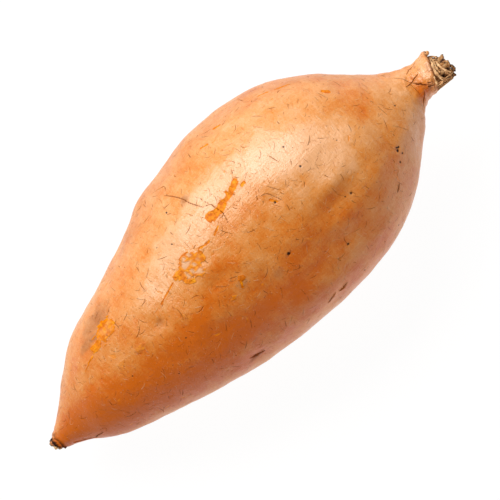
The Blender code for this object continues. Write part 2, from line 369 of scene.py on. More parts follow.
def path_points(places, spacing=0.25):
    """Points about spacing mm apart on a smooth line through places on the skin."""
    places = np.array(places, float)
    knots = np.arange(len(places))
    rough = np.linalg.norm(np.diff(surface(*places.T), axis=0), axis=1).sum() / MM
    fine = np.linspace(0, len(places) - 1, max(3, int(rough / spacing)))
    along = through(np.stack((knots, places[:, 0]), axis=1), fine)
    round_at = through(np.stack((knots, places[:, 1]), axis=1), fine)
    return surface(along, round_at)


def off_path(points, path):
    """How far points lie from a path (m), and how far along it their nearest place is (0-1)."""
    nearest = np.full(len(points), np.inf)
    share = np.zeros(len(points))
    for i, (start, end) in enumerate(zip(path, path[1:])):
        line = end - start
        t = np.clip((points - start) @ line / (line @ line), 0, 1)
        away = np.linalg.norm(points - start - t[:, None] * line, axis=1)
        closer = away < nearest
        nearest[closer] = away[closer]
        share[closer] = (i + t[closer]) / (len(path) - 1)
    return nearest, share


def patch_share(along, round_at, patch):
    """How deep inside a soft oval patch each place is: 1 at its middle, fading outwards."""
    centre, turned, long_reach, round_reach = patch[:4]
    off = ((along - centre) / long_reach) ** 2 + (degrees_off(round_at, turned) / round_reach) ** 2
    return np.exp(-off / 2)


def within(points, path, margin):
    """Which points lie in the box round a path, or no more than a margin (m) outside it."""
    low, high = path.min(axis=0) - margin, path.max(axis=0) + margin
    return np.flatnonzero(((points > low) & (points < high)).all(axis=1))


def raise_to(mask, near, value):
    """Lifts part of a mask to a value where that is more than it holds."""
    mask[near] = np.maximum(mask[near], value)


def mark_middles():
    """Points on every small mark, to know where the skin's mesh has to be fine."""
    spots = [path_points(places) for _, _, places in SPLITS]
    spots += [path_points(places) for _, places in SCRAPES]
    spots.append(surface(*np.array([(speck[0], speck[1]) for speck in SPECKS], float).T))
    return np.concatenate(spots)


# ---- meshes -----------------------------------------------------------------------------------


def tube_faces(bm, verts, columns):
    """Joins rings of vertices, columns to a ring, into a tube that is closed at both ends."""
    bm.faces.new(verts[:columns])
    bm.faces.new(verts[-columns:])
    for start in range(0, len(verts) - columns, columns):
        for k in range(columns):
            beside = (k + 1) % columns
            bm.faces.new((
                verts[start + k], verts[start + beside],
                verts[start + columns + beside], verts[start + columns + k],
            ))


def mesh_from(bm, name):
    """Ends a bmesh as a named mesh."""
    mesh = bpy.data.meshes.new(name)
    bm.to_mesh(mesh)
    bm.free()
    return mesh


def place_object(name, data):
    """Puts an object with the given mesh, lamp or camera into the scene."""
    placed = bpy.data.objects.new(name, data)
    bpy.context.scene.collection.objects.link(placed)
    return placed


def place_piece(mesh, name, material):
    """Places a smooth mesh as a named piece of the root."""
    mesh.shade_smooth()
    mesh.materials.append(material)
    piece = place_object(name, mesh)
    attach(piece, "root")
    return piece


# ---- skin -------------------------------------------------------------------------------------


def skin_mesh(looks):
    """The skin's mesh before its marks: a grid round the root, finer where the marks are."""
    even = np.linspace(0, 1, looks.rings)
    crowded = (1 - np.cos(math.pi * even)) / 2
    whole = SKIN_START + (even + looks.crowding * (crowded - even)) * (SKIN_END - SKIN_START)
    ring_places = [(place, 1.0) for place in whole]
    ring_places = [*reversed(TURNED_IN_AT_TIP), *ring_places, *TURNED_IN_AT_STALK]
    turn = np.linspace(-math.pi / 2, 1.5 * math.pi, looks.columns, endpoint=False)
    column_places = np.degrees(turn + looks.top_crowding * np.cos(turn))
    along, round_at = np.meshgrid([place for place, _ in ring_places], column_places, indexing="ij")
    left, _ = np.meshgrid([share for _, share in ring_places], column_places, indexing="ij")
    along = along + tip_slant(along, round_at, left)
    points = inner_point(along, round_at, left).reshape(-1, 3)
    bm = bmesh.new()
    layers = [bm.verts.layers.float.new(name) for name in ("along", "round", "left")]
    verts = []
    for point, values in zip(points, zip(along.ravel(), round_at.ravel(), left.ravel())):
        vert = bm.verts.new(point)
        for layer, value in zip(layers, values):
            vert[layer] = value
        verts.append(vert)
    tube_faces(bm, verts, looks.columns)
    refine_near(bm, mark_middles(), looks.fine_reach, looks.fine_cuts)
    bmesh.ops.recalc_face_normals(bm, faces=bm.faces)
    return mesh_from(bm, "skin")


def tip_slant(along, round_at, left):
    """How much later (mm) the broken root tip ends on its straight side than on the other."""
    slant = 1.35 * (1 - left * np.cos(np.radians(round_at - 20)))
    return slant * smoothstep(9.0, 0.5, along)


def refine_near(bm, spots, reach, cuts):
    """Divides the faces that lie within reach of any of the spots."""
    tree = KDTree(len(spots))
    for i, spot in enumerate(spots):
        tree.insert(spot, i)
    tree.balance()
    near = {vert for vert in bm.verts if tree.find(vert.co)[2] < reach}
    edges = {
        edge for face in bm.faces if any(vert in near for vert in face.verts)
        for edge in face.edges
    }
    bmesh.ops.subdivide_edges(bm, edges=list(edges), cuts=cuts, use_grid_fill=True)


def read_layer(mesh, name):
    """A layer's values, one for each vertex."""
    values = np.empty(len(mesh.vertices), dtype=np.float32)
    mesh.attributes[name].data.foreach_get("value", values)
    return values.astype(float)


def write_layer(mesh, name, values):
    """Stores one value for each vertex in a layer, which is added if the mesh has none."""
    layer = mesh.attributes.get(name) or mesh.attributes.new(name, "FLOAT", "POINT")
    layer.data.foreach_set("value", np.ascontiguousarray(values, dtype=np.float32))


def stroke_marks(points, height, masks):
    """Cuts the splits and scrapes, and pits the specks."""
    jitter = noise_at(points, 0.7 * MM, 4)
    scallop = noise_at(points, 1.5 * MM, 5)
    for width, depth, places in SPLITS:
        path = path_points(places)
        near = within(points, path, 2.5 * MM)
        away, share = off_path(points[near], path)
        away = away / MM + 0.10 * jitter[near]
        taper = np.sqrt(np.clip(4 * share * (1 - share), 0, 1)) * 0.8 + 0.2
        reach = 0.36 * width * taper * (1 + 0.9 * jitter[near])
        open_share = smoothstep(1.25, 0.65, away / reach)
        height[near] -= 0.8 * depth * taper * np.exp(-((away / (1.5 * reach)) ** 2))
        height[near] += 0.22 * depth * np.exp(-(((away - 3 * reach) / (1.6 * reach)) ** 2))
        # Painted shade in part: the inside of a split is darker the deeper it is.
        raise_to(masks["split"], near, open_share * min(1, depth / FULL_DARK_DEPTH))
        halo = 1.125 * depth * np.exp(-((away / (3.0 * reach)) ** 2))
        raise_to(masks["cork"], near, halo)
    for width, places in SCRAPES:
        path = path_points(places)
        near = within(points, path, 4 * MM)
        away, _ = off_path(points[near], path)
        away = away / MM + (0.20 * jitter[near] + 0.42 * scallop[near]) * min(1, width)
        inside = smoothstep(width / 2 + 0.14, width / 2 - 0.14, away)
        height[near] -= 0.14 * inside
        edge = np.exp(-(((away - width / 2 - 0.12) / 0.18) ** 2))
        height[near] += 0.06 * edge
        raise_to(masks["flesh"], near, inside)
    for mm_along, degrees, radius in SPECKS:
        centre = surface(np.array([mm_along], float), np.array([degrees], float))
        near = within(points, centre, 3 * MM)
        away = np.linalg.norm(points[near] - centre, axis=1) / MM + 0.22 * jitter[near]
        height[near] -= 0.30 * radius * np.exp(-((away / (1.2 * radius)) ** 2))
        dark = smoothstep(1.1 * radius, 0.6 * radius, away)
        raise_to(masks["speck"], near, dark)


def dimple_heights(points, along):
    """How far the small bumps and dents move the skin, in mm."""
    height = np.zeros(len(points))
    for centre, turned, long_reach, round_reach, rise in DIMPLES:
        middle = surface(np.array([centre], float), np.array([turned], float))[0]
        away = np.linalg.norm(points - middle, axis=1)
        near = np.flatnonzero(away < DIMPLE_LIMIT)
        ahead = along[near] - centre
        aside = np.sqrt(np.maximum((away[near] / MM) ** 2 - ahead**2, 0))
        height[near] += rise * np.exp(
            -((ahead / long_reach) ** 2 + (aside / round_reach) ** 2) / 2
        )
    return height


def scab_marks(along, round_at, points, fine_noise, height, masks):
    """Roughens the scabs, and says where their flesh and their crust show."""
    rim_noise = 0.22 * noise_at(points, 0.9 * MM, 6)
    crumbs = noise_at(points, 1.1 * MM, 7)
    for scab in SCABS:
        depth = patch_share(along, round_at, scab)
        rough_depth = depth + 0.30 * fine_noise
        inside = smoothstep(0.52, 0.62, rough_depth + rim_noise) * scab[4] * (depth > 0.12)
        crust = smoothstep(0.64, 0.80, rough_depth) * scab[5] * smoothstep(-0.20, 0.12, crumbs)
        height += 0.12 * inside * (0.4 + crumbs) + 0.30 * crust * crumbs
        raise_to(masks["flesh"], EVERYWHERE, inside * (1 - crust))
        raise_to(masks["crust"], EVERYWHERE, crust)


def settle_skin(mesh, looks):
    """Lays every vertex on the marked skin and writes the layers that the material reads."""
    along, round_at = read_layer(mesh, "along"), read_layer(mesh, "round")
    left = read_layer(mesh, "left")
    _, out = surface_frame(along, round_at)
    points = inner_point(along, round_at, left)
    masks = {name: np.zeros(len(points)) for name in ("split", "flesh", "cork", "crust", "speck")}
    share = along * MM / LENGTH
    broad_noise = noise_at(points, 15 * MM, 1)
    middling_noise = noise_at(points, 6 * MM, 2)
    fine_noise = noise_at(points, 2.2 * MM, 3)
    thick = smoothstep(0.0, 0.12, share) * smoothstep(0.97, 0.86, share)
    lumps = (0.24 * broad_noise + 0.14 * middling_noise) * (0.25 + 0.75 * thick)
    height = looks.lumps * (lumps + 0.05 * fine_noise + dimple_heights(points, along))
    stroke_marks(points, height, masks)
    scab_marks(along, round_at, points, fine_noise, height, masks)
    cork_noise = 0.25 * middling_noise + 0.20 * fine_noise
    for cork in CORKS:
        ragged = patch_share(along, round_at, cork) + cork_noise
        raise_to(masks["cork"], EVERYWHERE, smoothstep(0.35, 0.95, ragged) * cork[4])
    # Paler and deeper skin: partly its own tone, partly painted highlight and painted shade.
    tone_and_painted_light = sum(patch_share(along, round_at, patch) * patch[4] for patch in TONES_AND_PAINTED_LIGHT)
    neck_height, neck_split = neck_marks(along, round_at, points)
    tip_height, char = tip_marks(along, round_at, points)
    height += neck_height + tip_height
    raise_to(masks["split"], EVERYWHERE, neck_split)
    height = height * smoothstep(0.2 * MM, CALM_BELOW, points[:, 2])
    points += out * (height * smoothstep(0.5, 1.0, left))[:, None] * MM
    points[:, 2] = np.maximum(points[:, 2], ROOT_LOW.z)
    mesh.vertices.foreach_set("co", points.astype(np.float32).ravel())
    for name, values in masks.items():
        write_layer(mesh, name, values)
    write_layer(mesh, "tone_and_painted_light", tone_and_painted_light)
    write_layer(mesh, "char", char)
    mesh.update()


def neck_marks(along, round_at, points):
    """Wrinkles round the flared neck and the raised rim where the skin ends."""
    neck = smoothstep(146.0, 160.0, along)
    wave = noise_at(points, 3.0 * MM, 11)
    rings = np.sin(2 * math.pi * along / 2.6 + 2.5 * wave)
    folds = np.cos(np.radians(round_at) * 7 + 2.0 * wave)
    height = neck * (0.10 * rings + 0.14 * folds * smoothstep(152, 164, along))
    height += 0.15 * np.exp(-(((along - 166.8) / 1.0) ** 2))
    height -= 0.18 * np.exp(-(((along - 163.6) / 1.2) ** 2)) * (0.6 + 0.4 * folds)
    for patch in NECK_DENTS:
        height += patch[4] * patch_share(along, round_at, patch)
    split = smoothstep(0.93, 1.0, rings + 0.25 * wave) * smoothstep(156, 164, along) * 0.35
    split = np.maximum(split, 0.85 * smoothstep(167.5, 168.2, along + 0.3 * wave))
    return height, split


def tip_marks(along, round_at, points):
    """Ridges round the root tip, and how charred-looking its broken end is."""
    near_tip = smoothstep(9.0, 1.0, along)
    wave = noise_at(points, 1.8 * MM, 13)
    rings = np.sin(2 * math.pi * along / 1.7 + 3.0 * wave)
    height = near_tip * 0.22 * rings
    past_end = along - tip_slant(along, round_at, 1.0)
    dark = smoothstep(-0.55, 0.25, rings * 0.6 + 0.7 * wave + 0.2 * near_tip)
    edge = smoothstep(4.6, 2.2, past_end + 1.3 * wave)
    return height, dark * edge


# ---- materials --------------------------------------------------------------------------------


def new_material(name):
    """A material, its node tree and its main shader."""
    material = bpy.data.materials.new(name)
    material.use_nodes = True
    return material, material.node_tree, material.node_tree.nodes["Principled BSDF"]


def add(tree, kind, inputs=None, **settings):
    """Adds a node; each input is a plain value or another node's socket."""
    node = tree.nodes.new(kind)
    for name, value in settings.items():
        setattr(node, name, value)
    for key, value in (inputs or {}).items():
        if isinstance(value, bpy.types.NodeSocket):
            tree.links.new(value, node.inputs[key])
        else:
            node.inputs[key].default_value = value
    return node


def math_of(tree, operation, first, second=0.0, third=0.0):
    """One sum on numbers or sockets."""
    inputs = {0: first, 1: second, 2: third}
    return add(tree, "ShaderNodeMath", inputs, operation=operation).outputs[0]


def vector_math(tree, operation, first, second=(0, 0, 0)):
    """One sum on vectors, which gives a vector or, for a dot product or a length, a number."""
    node = add(tree, "ShaderNodeVectorMath", {0: first, 1: second}, operation=operation)
    return node.outputs["Value" if operation in ("DOT_PRODUCT", "LENGTH") else "Vector"]


def remap(tree, value, low, high, out_low=0.0, out_high=1.0):
    """A value eased from one range to another, and held at its ends."""
    node = add(
        tree, "ShaderNodeMapRange",
        {"Value": value, "From Min": low, "From Max": high, "To Min": out_low, "To Max": out_high},
        interpolation_type="SMOOTHSTEP",
    )
    return node.outputs["Result"]


def place_in(tree):
    """Each point's place on the object itself."""
    return add(tree, "ShaderNodeTexCoord").outputs["Object"]


def squeezed(tree, place, scale):
    """A place with its run along the root scaled, so that noise there comes out as streaks."""
    mapping = add(tree, "ShaderNodeMapping", {"Vector": place, "Scale": (scale, 1.0, 1.0)})
    return mapping.outputs["Vector"]


def bump_of(tree, shader, height, strength, distance):
    """Lets a height disturb the shader's normal."""
    sizes = {"Strength": strength, "Distance": distance, "Height": height}
    bump = add(tree, "ShaderNodeBump", sizes)
    tree.links.new(bump.outputs["Normal"], shader.inputs["Normal"])


def layer_of(tree, name):
    """What a mesh layer holds at each point."""
    return add(tree, "ShaderNodeAttribute", attribute_name=name).outputs["Fac"]


def noise_of(tree, place, size, detail=3.0, roughness=0.55):
    """Noise, 0 to 1, with lumps about size metres across."""
    inputs = {"Vector": place, "Scale": 1 / size, "Detail": detail, "Roughness": roughness}
    return add(tree, "ShaderNodeTexNoise", inputs).outputs["Fac"]


def opaque(colour):
    """A colour with full alpha, as sockets take it."""
    return (*colour, 1.0)


def blend_colours(tree, share, first, second):
    """The first colour mixed by a share towards the second, which is a socket or a plain colour."""
    if not isinstance(second, bpy.types.NodeSocket):
        second = opaque(second)
    return add(tree, "ShaderNodeMix", {0: share, 6: first, 7: second}, data_type="RGBA").outputs[2]


def colour_ramp(tree, share, stops):
    """A colour read off a ramp of (place, colour) stops."""
    node = add(tree, "ShaderNodeValToRGB", {"Fac": share})
    ramp = node.color_ramp
    while len(ramp.elements) < len(stops):
        ramp.elements.new(0.5)
    for element, (place, colour) in zip(ramp.elements, stops):
        element.position, element.color = place, opaque(colour)
    return node.outputs["Color"]


def strokes_group():
    """A node group of short random strokes lying in the surface, each cell of space holding one."""
    group = bpy.data.node_groups.new("short_strokes", "ShaderNodeTree")
    for name, kind in (
        ("Place", "NodeSocketVector"), ("Cell", "NodeSocketFloat"), ("Length", "NodeSocketFloat"),
        ("Width", "NodeSocketFloat"), ("Share", "NodeSocketFloat"), ("Bend", "NodeSocketFloat"),
    ):
        group.interface.new_socket(name, in_out="INPUT", socket_type=kind)
    group.interface.new_socket("Stroke", in_out="OUTPUT", socket_type="NodeSocketFloat")
    given = group.nodes.new("NodeGroupInput").outputs
    cells = add(
        group, "ShaderNodeTexVoronoi",
        {"Vector": given["Place"], "Scale": math_of(group, "DIVIDE", 1.0, given["Cell"])},
    )
    off = vector_math(group, "SUBTRACT", given["Place"], cells.outputs["Position"])
    chance = vector_math(group, "SUBTRACT", cells.outputs["Color"], (0.5, 0.5, 0.5))
    normal = add(group, "ShaderNodeNewGeometry").outputs["Normal"]
    run = vector_math(group, "NORMALIZE", vector_math(group, "CROSS_PRODUCT", normal, chance))
    side = vector_math(group, "CROSS_PRODUCT", normal, run)
    split = add(group, "ShaderNodeSeparateXYZ", {"Vector": cells.outputs["Color"]}).outputs
    grown = math_of(group, "MULTIPLY_ADD", split["X"], 1.0, 0.45)
    length = math_of(group, "MULTIPLY", given["Length"], grown)
    lengthwise = math_of(group, "DIVIDE", vector_math(group, "DOT_PRODUCT", off, run), length)
    bow = math_of(group, "MULTIPLY", math_of(group, "MULTIPLY", lengthwise, lengthwise), given["Bend"])
    bow = math_of(group, "MULTIPLY", bow, math_of(group, "SUBTRACT", split["Y"], 0.5))
    sideways = math_of(group, "ADD", vector_math(group, "DOT_PRODUCT", off, side), bow)
    sideways = math_of(group, "DIVIDE", sideways, given["Width"])
    away = vector_math(
        group, "LENGTH",
        add(group, "ShaderNodeCombineXYZ", {"X": lengthwise, "Y": sideways}).outputs["Vector"],
    )
    shown = math_of(group, "LESS_THAN", split["Z"], given["Share"])
    stroke = math_of(group, "MULTIPLY", remap(group, away, 1.0, 0.45), shown)
    result = group.nodes.new("NodeGroupOutput")
    group.links.new(stroke, result.inputs["Stroke"])
    return group


def strokes_of(tree, group, place, cell, length, width, share, bend=0.0, shift=0.0):
    """A field of short strokes: their sizes in metres, and the share of cells that hold one."""
    place = vector_math(tree, "ADD", place, (shift, shift * 0.7, shift * 0.4))
    node = add(tree, "ShaderNodeGroup", node_tree=group)
    sizes = {"Cell": cell, "Length": length, "Width": width, "Share": share, "Bend": bend}
    for name, value in sizes.items():
        node.inputs[name].default_value = value
    tree.links.new(place, node.inputs["Place"])
    return node.outputs["Stroke"]


def skin_material(looks):
    """Waxy coppery skin: mottled and streaked, with its splits, scrapes, cork and specks, and with
    highlight and shade painted into its tone.
    """
    material, tree, shader = new_material("potato_skin")
    group = strokes_group()
    place = place_in(tree)
    broad = noise_of(tree, place, 24 * MM, 3.0)
    middling = noise_of(tree, place, 6 * MM, 4.0, 0.6)
    streaky = noise_of(tree, squeezed(tree, place, 3.2), 2.6 * MM, 3.0)
    wrinkles = noise_of(tree, squeezed(tree, place, 0.22), 0.8 * MM, 3.0)
    grain = noise_of(tree, place, 0.42 * MM, 3.0, 0.65)
    mottle = (
        (broad, 0.75), (middling, 0.75), (streaky, 0.45), (wrinkles, 0.35), (grain, 0.70)
    )
    # The tone layer carries painted highlight and painted shade as well as the skin's own tone.
    tone_and_painted_light = math_of(
        tree, "MULTIPLY_ADD", layer_of(tree, "tone_and_painted_light"), 0.5, 0.5 - sum(part[1] for part in mottle) / 2
    )
    for source, amount in mottle:
        tone_and_painted_light = math_of(tree, "MULTIPLY_ADD", source, amount, tone_and_painted_light)
    # Deep skin is also the colour of the painted shade, pale skin that of the painted highlight.
    colour = colour_ramp(tree, tone_and_painted_light, (
        (0.10, looks.deep_skin), (0.38, looks.copper_skin),
        (0.62, looks.light_skin), (0.95, looks.pale_skin_and_painted_highlight),
    ))
    pale_strokes = strokes_of(tree, group, place, 5 * MM, 1.5 * MM, 0.13 * MM, 0.35, 0.8 * MM, 0.31)
    fine_strokes = strokes_of(tree, group, place, 2.6 * MM, 0.9 * MM, 0.10 * MM, 0.5, 0.5 * MM, 0.57)
    dark_strokes = strokes_of(tree, group, place, 6.5 * MM, 1.9 * MM, 0.15 * MM, 0.45, 1.0 * MM)
    hairs = strokes_of(tree, group, place, 4.1 * MM, 1.5 * MM, 0.10 * MM, 0.55, 1.4 * MM, 2.3)
    dots = strokes_of(tree, group, place, 3.2 * MM, 0.22 * MM, 0.20 * MM, 0.30, 0.0, 0.83)
    flush = strokes_of(tree, group, place, 14 * MM, 1.2 * MM, 0.5 * MM, 0.30, 0.5 * MM, 1.7)
    flecks = strokes_of(tree, group, place, 1.9 * MM, 0.24 * MM, 0.15 * MM, 0.40, 0.0, 3.1)
    for strokes, strength, ink in (
        (pale_strokes, 0.45, looks.scratch), (flecks, 0.32, looks.scratch),
        (fine_strokes, 0.45, looks.deep_skin), (dark_strokes, 0.62, looks.stroke),
        (hairs, 0.5, looks.stroke), (dots, 0.5, looks.stroke), (flush, 0.8, looks.flesh),
    ):
        colour = blend_colours(tree, math_of(tree, "MULTIPLY", strokes, strength), colour, ink)

    cork, crust, speck, char, split = (
        layer_of(tree, name) for name in ("cork", "crust", "speck", "char", "split")
    )
    flesh = remap(
        tree, math_of(tree, "MULTIPLY_ADD", grain, 0.5, layer_of(tree, "flesh")), 0.50, 0.85
    )
    cork_colour = colour_ramp(tree, middling, ((0.36, looks.cork_dark), (0.56, looks.cork_light)))
    flesh_colour = colour_ramp(tree, noise_of(tree, place, 1.4 * MM, 2.0), (
        (0.36, looks.flesh_deep), (0.55, looks.flesh), (0.72, looks.flesh_pale),
    ))
    for mask, ink in (
        (cork, cork_colour), (flesh, flesh_colour), (crust, looks.crust), (speck, looks.speck),
        (char, looks.char), (split, looks.split),
    ):
        colour = blend_colours(tree, mask, colour, ink)
    tree.links.new(colour, shader.inputs["Base Color"])

    rough = math_of(tree, "MULTIPLY_ADD", middling, 0.34, looks.roughness - 0.17)
    for mask, amount in (
        (cork, 0.25), (flesh, 0.40), (split, 0.35), (char, 0.30), (crust, 0.30), (speck, 0.25),
        (dark_strokes, 0.20), (hairs, 0.15),
    ):
        rough = math_of(tree, "MULTIPLY_ADD", mask, amount, rough)
    tree.links.new(rough, shader.inputs["Roughness"])
    shine = math_of(tree, "MULTIPLY_ADD", tone_and_painted_light, 0.50, looks.gloss - 0.24)
    for mask, dulling in (
        (cork, -0.50), (flesh, -0.45), (crust, -0.30), (split, -0.70), (speck, -0.60),
        (char, -0.50), (dark_strokes, -0.55), (hairs, -0.45), (dots, -0.45),
    ):
        shine = math_of(tree, "MULTIPLY_ADD", mask, dulling, shine)
    shine = math_of(tree, "MAXIMUM", shine, 0.04)
    shader.inputs["Specular IOR Level"].default_value = looks.gloss
    tree.links.new(shine, shader.inputs["Specular IOR Level"])

    bumps = math_of(tree, "MULTIPLY", grain, 0.45)
    for source, amount in (
        (streaky, 0.60), (middling, 0.6), (wrinkles, 0.45), (pale_strokes, 0.25), (dark_strokes, -0.7),
        (hairs, -0.5), (fine_strokes, -0.3), (dots, -0.5), (flush, -0.3), (flecks, 0.35),
    ):
        bumps = math_of(tree, "MULTIPLY_ADD", source, amount, bumps)
    rough_flesh = math_of(tree, "MULTIPLY", flesh, noise_of(tree, place, 0.8 * MM, 3.0))
    bumps = math_of(tree, "MULTIPLY_ADD", rough_flesh, 0.9, bumps)
    bump_of(tree, shader, bumps, looks.bump, 0.25 * MM)
    return material


def fibre_material(looks):
    """Dry stalk tissue: tan fibres with brown ends, dark painted shade in the hollows between them and
    painted light on their crowns.
    """
    material, tree, shader = new_material("dry_stalk")
    streaks = noise_of(tree, squeezed(tree, place_in(tree), 0.35), 0.7 * MM, 4.0, 0.65)
    colour = colour_ramp(
        tree, streaks, ((0.30, looks.dark), (0.45, looks.tan), (0.66, looks.straw))
    )
    colour = blend_colours(tree, layer_of(tree, "dark_tissue_and_painted_shade"), colour, looks.dark_tissue_and_painted_shade)
    colour = blend_colours(tree, layer_of(tree, "cut_end_and_painted_light"), colour, looks.cut_end_and_painted_light)
    tree.links.new(colour, shader.inputs["Base Color"])
    rough = math_of(tree, "MULTIPLY_ADD", streaks, 0.3, 0.55)
    tree.links.new(rough, shader.inputs["Roughness"])
    bump_of(tree, shader, streaks, 0.6, 0.2 * MM)
    shader.inputs["Specular IOR Level"].default_value = 0.2
    return material


def bud_material(looks):
    """The bud scar: orange-brown, nearly black in its middle."""
    material, tree, shader = new_material("bud_scar")
    mottle = noise_of(tree, place_in(tree), 0.6 * MM, 3.0)
    colour = colour_ramp(tree, mottle, ((0.35, looks.bud), (0.65, looks.straw)))
    colour = blend_colours(tree, layer_of(tree, "dark_tissue_and_painted_shade"), colour, looks.dark_tissue_and_painted_shade)
    tree.links.new(colour, shader.inputs["Base Color"])
    tree.links.new(remap(tree, mottle, 0.2, 0.8, 0.4, 0.6), shader.inputs["Roughness"])
    return material


# ---- stalk and root tip -----------------------------------------------------------------------


def section_middle(along):
    """The middle of the root's section, at places along it."""
    sides = [surface(along, np.full_like(along, turned)) for turned in (0.0, 90.0, 180.0, 270.0)]
    return (sides[0] + sides[2]) / 2 * (1, 1, 0) + (sides[1] + sides[3]) / 2 * (0, 0, 1)


def inner_point(along, round_at, share):
    """A point inside the root: share 0 is its middle line and 1 its skin."""
    middle = section_middle(along)
    return middle + (surface(along, round_at) - middle) * np.asarray(share)[..., None]


def strip(bm, path, across, widths, thicknesses, sides=8):
    """A flattened strand along a path, closed at both ends. Returns its rings of vertices."""
    rings = []
    for i, point in enumerate(path):
        before, after = path[max(i - 1, 0)], path[min(i + 1, len(path) - 1)]
        run = (after - before).normalized()
        flat = (across[i] - run * across[i].dot(run)).normalized()
        up = run.cross(flat)
        rings.append([
            bm.verts.new(
                point + flat * (widths[i] / 2 * math.cos(turn))
                + up * (thicknesses[i] / 2 * math.sin(turn))
            )
            for turn in (2 * math.pi * k / sides for k in range(sides))
        ])
    tube_faces(bm, [vert for ring in rings for vert in ring], sides)
    return rings


def fibre_layers(bm):
    """The two layers that the materials of the ends read: how dark, partly as painted shade, and how
    pale, as freshly cut ends and as painted light.
    """
    return [bm.verts.layers.float.new(name) for name in ("dark_tissue_and_painted_shade", "cut_end_and_painted_light")]


def finish_piece(bm, name, material):
    """Turns a bmesh into a named piece of the root."""
    bmesh.ops.recalc_face_normals(bm, faces=bm.faces)
    return place_piece(mesh_from(bm, name), name, material)


# Places on the stalk, in mm from the root tip.
CORE_START, CORE_END = 165.9, 173.3  # the ends of the torn tissue inside the rim of skin
FIBRES_START = 166.6
STALK_HELD = 172.0  # past here the stalk keeps its section, and no longer closes
BUD_AT = (167.8, 24.0)  # with its degrees round

# Torn bark round the snapped stalk, as strips: (darkness 0-1, partly painted shade that is greater
# for strips lying deeper in, width in mm, places as (mm from the tip, degrees round, share of the way
# from the stalk's middle to its skin)).
BARK = (
    (0.10, 1.35, ((168.6, 50, 0.94), (168.7, 70, 0.93), (168.7, 92, 0.92), (169.4, 114, 0.90),
                  (170.8, 134, 0.88))),
    (0.30, 0.90, ((169.4, 44, 0.88), (169.5, 62, 0.87), (169.5, 84, 0.86), (170.0, 106, 0.84))),
    (0.00, 0.95, ((170.4, 60, 0.84), (170.3, 74, 0.86), (170.8, 90, 0.85), (171.6, 108, 0.86),
                  (172.6, 126, 0.80))),
    (0.05, 0.80, ((167.9, 104, 0.99), (168.0, 118, 1.03), (168.1, 132, 1.04), (169.2, 136, 1.0),
                  (170.0, 128, 0.98), (169.4, 118, 0.95))),
    (0.55, 1.10, ((171.4, 78, 0.70), (172.0, 72, 0.72), (172.9, 78, 0.80), (173.4, 92, 0.84),
                  (172.8, 106, 0.74))),
    (0.45, 0.90, ((171.8, 88, 0.66), (172.5, 90, 0.78), (172.9, 100, 0.70))),
    (0.85, 1.20, ((173.2, 104, 0.60), (173.8, 112, 0.74), (174.0, 128, 0.78), (173.4, 142, 0.70))),
    (0.80, 1.00, ((172.6, 112, 0.60), (173.0, 124, 0.70), (173.2, 138, 0.74), (172.6, 150, 0.70))),
    (0.60, 1.20, ((171.6, 126, 0.72), (172.4, 138, 0.76), (173.0, 150, 0.80), (173.4, 160, 0.88))),
    (0.35, 1.10, ((170.6, 104, 0.74), (171.4, 114, 0.80), (171.9, 128, 0.84), (172.0, 142, 0.88))),
    (0.55, 1.10, ((169.6, 34, 0.78), (170.2, 50, 0.78), (170.8, 62, 0.74), (171.4, 74, 0.66))),
    (0.15, 1.20, ((168.8, 10, 0.92), (169.0, 30, 0.90), (169.1, 48, 0.88))),
    (0.25, 1.30, ((168.6, 200, 0.93), (168.9, 235, 0.90), (169.2, 270, 0.90), (168.8, 310, 0.92),
                  (168.7, 350, 0.92))),
    (0.45, 1.10, ((169.8, 190, 0.86), (170.2, 225, 0.82), (170.6, 262, 0.82), (170.0, 300, 0.84))),
    (0.05, 1.00, ((170.6, 286, 0.80), (170.8, 320, 0.80), (171.2, 352, 0.80), (171.0, 378, 0.80))),
    (0.75, 1.20, ((171.8, 240, 0.66), (172.6, 262, 0.78), (172.8, 290, 0.78), (172.2, 316, 0.66))),
    (0.60, 1.20, ((172.0, 330, 0.60), (172.9, 350, 0.72), (173.0, 380, 0.70), (172.2, 400, 0.60))),
)


def smooth_line(places, steps):
    """Places along a smooth line through the given ones."""
    places = np.array(places, float)
    knots = np.arange(len(places))
    fine = np.linspace(0, len(places) - 1, steps)
    columns = (through(np.stack((knots, column), axis=1), fine) for column in places.T)
    return np.stack(list(columns), axis=1)


def stalk_point(along, round_at, share):
    """A point of the stalk, also past the end of the root's own outline."""
    held = np.minimum(along, STALK_HELD)
    narrowed = 1 - 0.30 * smoothstep(75, 20, np.abs(degrees_off(round_at, 10.0)))
    points = inner_point(held, round_at, share * narrowed)
    points[..., 0] += (along - held) * MM
    points[..., 1] -= 1.0 * MM * smoothstep(167.5, 173.0, along)
    return points


